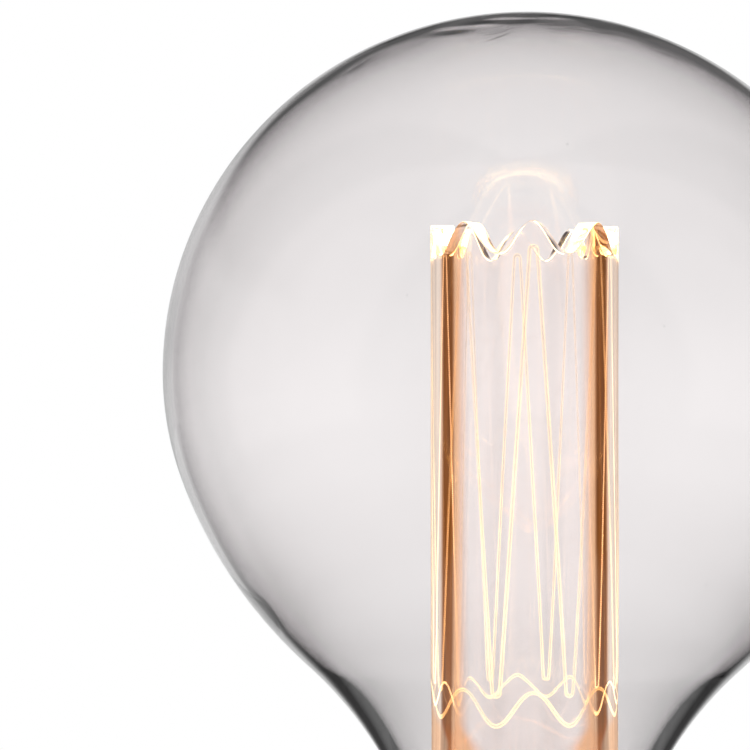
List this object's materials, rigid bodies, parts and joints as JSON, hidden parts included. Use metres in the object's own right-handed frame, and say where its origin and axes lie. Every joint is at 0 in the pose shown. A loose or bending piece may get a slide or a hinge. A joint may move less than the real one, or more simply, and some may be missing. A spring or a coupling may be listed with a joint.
{
  "type": "led bulb",
  "caption": "Clear glass globe bulb with an acrylic light-guide tube whose engraved line glows, lit by a ring of lamps in its collar, on a screw cap.",
  "frame": {"origin": "on the bulb's axis at the flat tip of the solder on the centre contact, the lowest point of the cap", "axes": "+Z along the axis from the cap to the top of the globe; the picture looks along +Y with +X to its right"},
  "size_m": [0.125, 0.125, 0.175],
  "materials": {
    "clear_glass": "clear blown soda-lime glass",
    "cement": "dark cured basing cement, finely speckled",
    "clear_acrylic": "clear polished acrylic, laser-engraved",
    "white_plastic": "moulded, fine matt",
    "screw_steel": "zinc-plated",
    "white_board": "aluminium board under white solder mask",
    "lamp_phosphor": "warm phosphor in a white frame, lit",
    "solder": "dull tin solder",
    "thermal_rubber": "soft filled silicone sheet",
    "bare_aluminium": "turned, bare",
    "collar_metal": "spun, satin",
    "circuit_board": "green solder mask",
    "black_resin": "moulded resin",
    "capacitor_sleeve": "shrunk sleeve",
    "ferrite": "sintered ferrite",
    "copper_wire": "enamelled copper wire",
    "green_lacquer": "lacquered",
    "orange_resin": "dipped resin",
    "red_lead": "silicone insulation",
    "black_lead": "silicone insulation",
    "tinned_wire": "tinned copper wire",
    "nickel_plate": "nickel-plated rolled sheet",
    "black_glass": "cast black glass",
    "contact_brass": "punched brass"
  },
  "bodies": {
    "root": {"glass_globe": "clear_glass", "neck_cement": "cement", "light_guide": "clear_acrylic", "guide_hub": "white_plastic", "hub_screws": "screw_steel", "lamp_board": "white_board", "lamp_chips": "lamp_phosphor", "lead_solder": "solder", "thermal_pad": "thermal_rubber", "heat_sink": "bare_aluminium", "collar": "collar_metal", "driver_sleeve": "white_plastic", "driver_board": "circuit_board", "bridge_rectifier": "black_resin", "smoothing_capacitor": "capacitor_sleeve", "choke_core": "ferrite", "choke_winding": "copper_wire", "driver_chip": "black_resin", "output_diode": "black_resin", "fuse_resistor": "green_lacquer", "film_capacitor": "orange_resin", "live_lead": "red_lead", "neutral_lead": "tinned_wire", "positive_lead": "red_lead", "negative_lead": "black_lead", "screw_shell": "nickel_plate", "cap_insulator": "black_glass", "centre_contact": "contact_brass", "contact_solder": "solder"}
  },
  "joints": []
}
